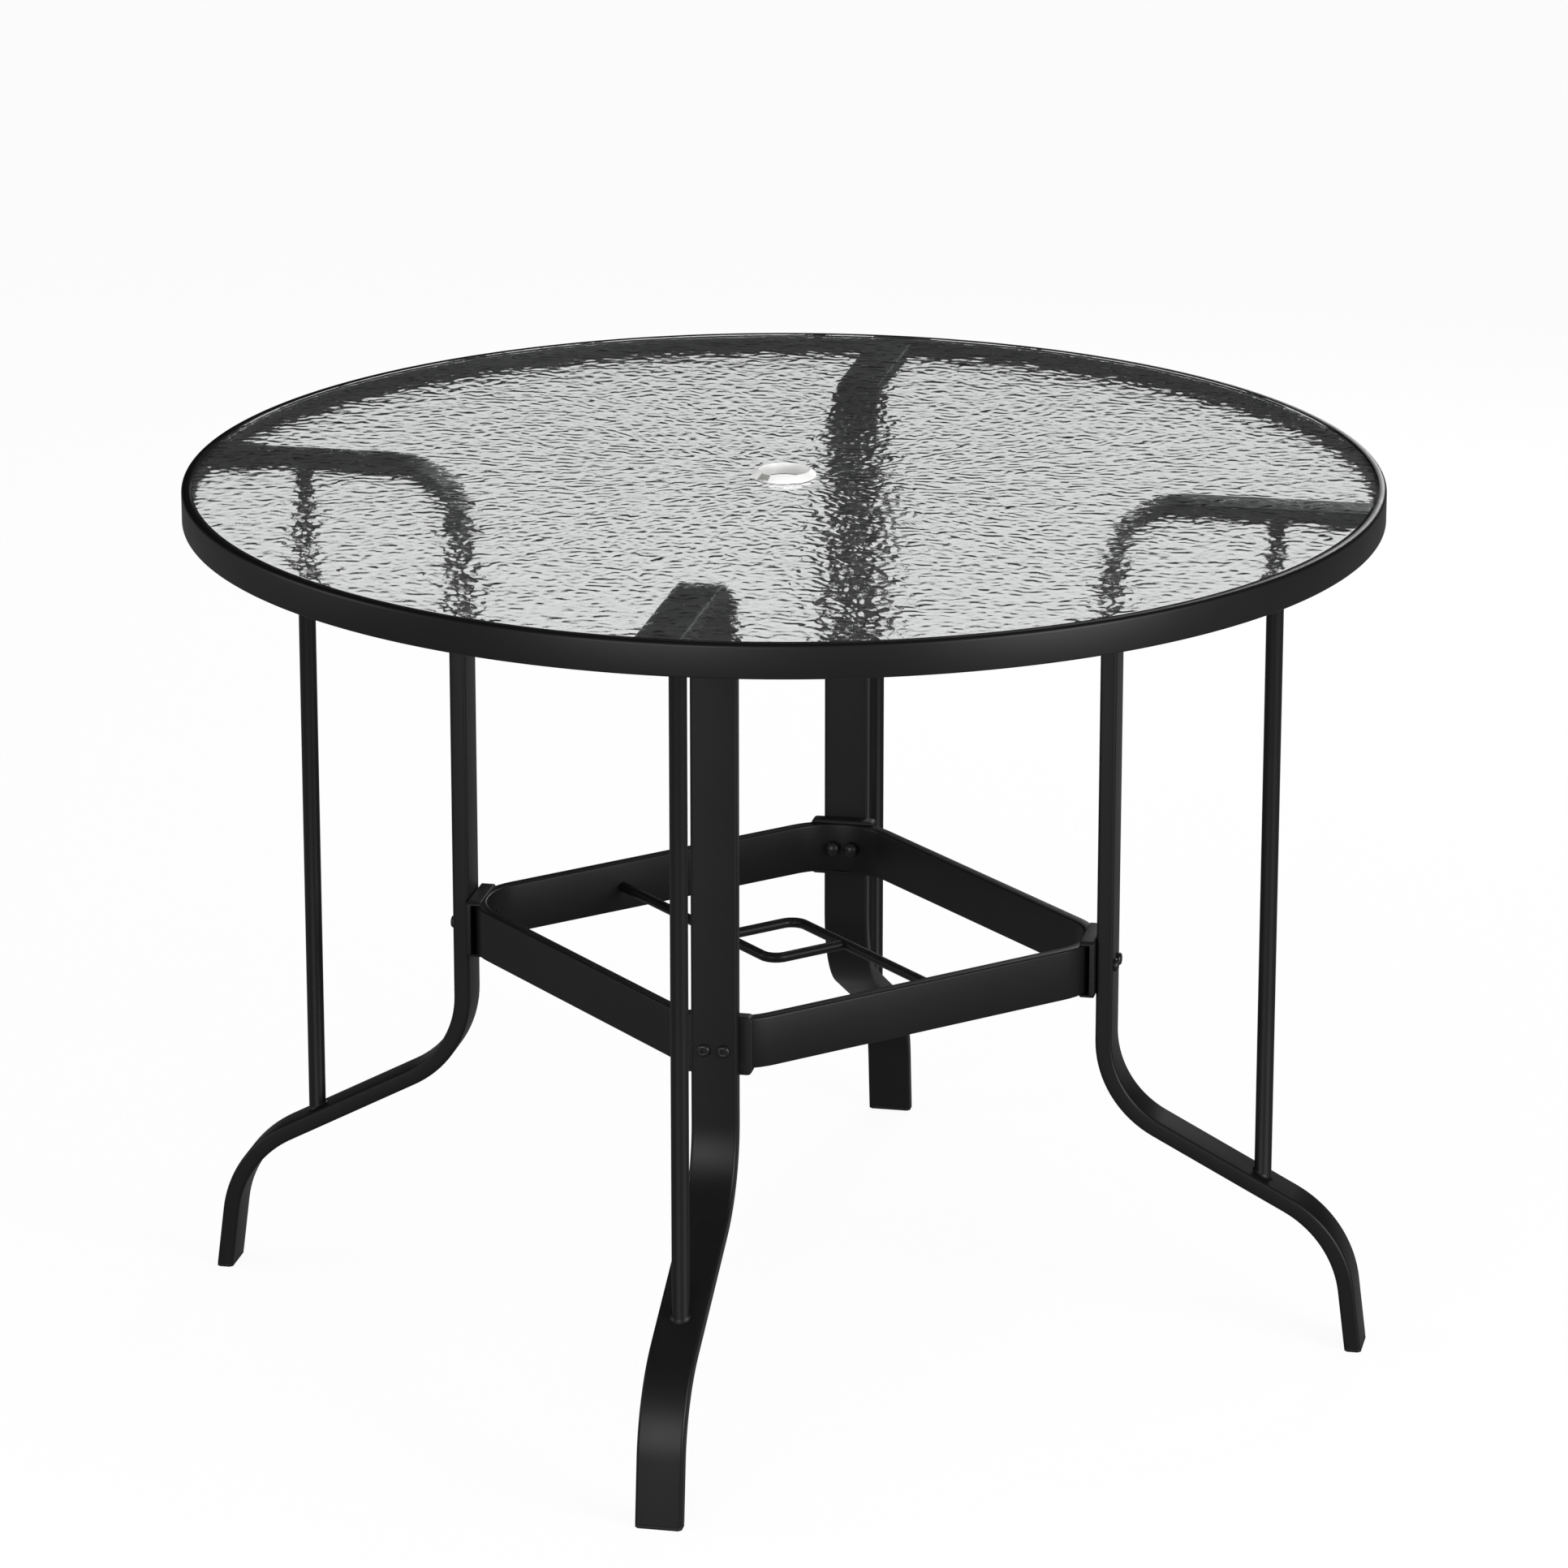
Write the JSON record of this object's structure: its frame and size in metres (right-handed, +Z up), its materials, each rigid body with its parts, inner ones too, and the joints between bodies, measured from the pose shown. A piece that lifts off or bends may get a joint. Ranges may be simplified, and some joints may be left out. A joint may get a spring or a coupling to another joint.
{
  "type": "umbrella table",
  "caption": "Round patio table with a rippled glass top, umbrella hole, bent steel tube legs with brace rods and a square lower frame.",
  "frame": {"origin": "on the floor, below the centre of the umbrella hole", "axes": "+Z up; the legs stand on the -Y (front), +X (right), +Y (rear) and -X (left) axes"},
  "size_m": [0.9698, 0.9698, 0.7165],
  "materials": {
    "powder_coated_steel": "satin powder coat",
    "rippled_glass": "rippled",
    "white_plastic": "semi-gloss",
    "black_plastic": "fine matte",
    "black_fasteners": "black zinc"
  },
  "bodies": {
    "frame": {"rim_ring": "powder_coated_steel", "lower_frame": "powder_coated_steel", "guide_rod_right": "powder_coated_steel", "guide_rod_left": "powder_coated_steel", "leg_right": "powder_coated_steel", "leg_rear": "powder_coated_steel", "leg_left": "powder_coated_steel", "leg_front": "powder_coated_steel", "brace_rod_right": "powder_coated_steel", "brace_rod_rear": "powder_coated_steel", "brace_rod_left": "powder_coated_steel", "brace_rod_front": "powder_coated_steel", "rim_tab_right": "powder_coated_steel", "rim_tab_rear": "powder_coated_steel", "rim_tab_left": "powder_coated_steel", "rim_tab_front": "powder_coated_steel", "foot_plug_right": "black_plastic", "foot_plug_rear": "black_plastic", "foot_plug_left": "black_plastic", "foot_plug_front": "black_plastic", "frame_saddle_right": "black_plastic", "frame_saddle_rear": "black_plastic", "frame_saddle_left": "black_plastic", "frame_saddle_front": "black_plastic", "tab_screw_right": "black_fasteners", "tab_screw_rear": "black_fasteners", "tab_screw_left": "black_fasteners", "tab_screw_front": "black_fasteners", "frame_bolt_right_1": "black_fasteners", "frame_bolt_right_2": "black_fasteners", "frame_bolt_rear_1": "black_fasteners", "frame_bolt_rear_2": "black_fasteners", "frame_bolt_left_1": "black_fasteners", "frame_bolt_left_2": "black_fasteners", "frame_bolt_front_1": "black_fasteners", "frame_bolt_front_2": "black_fasteners", "cap_nut_right_1": "black_fasteners", "cap_nut_right_2": "black_fasteners", "cap_nut_rear_1": "black_fasteners", "cap_nut_rear_2": "black_fasteners", "cap_nut_left_1": "black_fasteners", "cap_nut_left_2": "black_fasteners", "cap_nut_front_1": "black_fasteners", "cap_nut_front_2": "black_fasteners"},
    "glass": {"glass_top": "rippled_glass"},
    "hole_ring": {"umbrella_hole_ring": "white_plastic"}
  },
  "joints": [
    {"name": "glass_lift", "type": "slide", "parent": "frame", "child": "glass", "axis": [0, 0, 1], "range_m": [0, 0.03]},
    {"name": "hole_ring_lift", "type": "slide", "parent": "glass", "child": "hole_ring", "axis": [0, 0, 1], "range_m": [0, 0.015]}
  ]
}
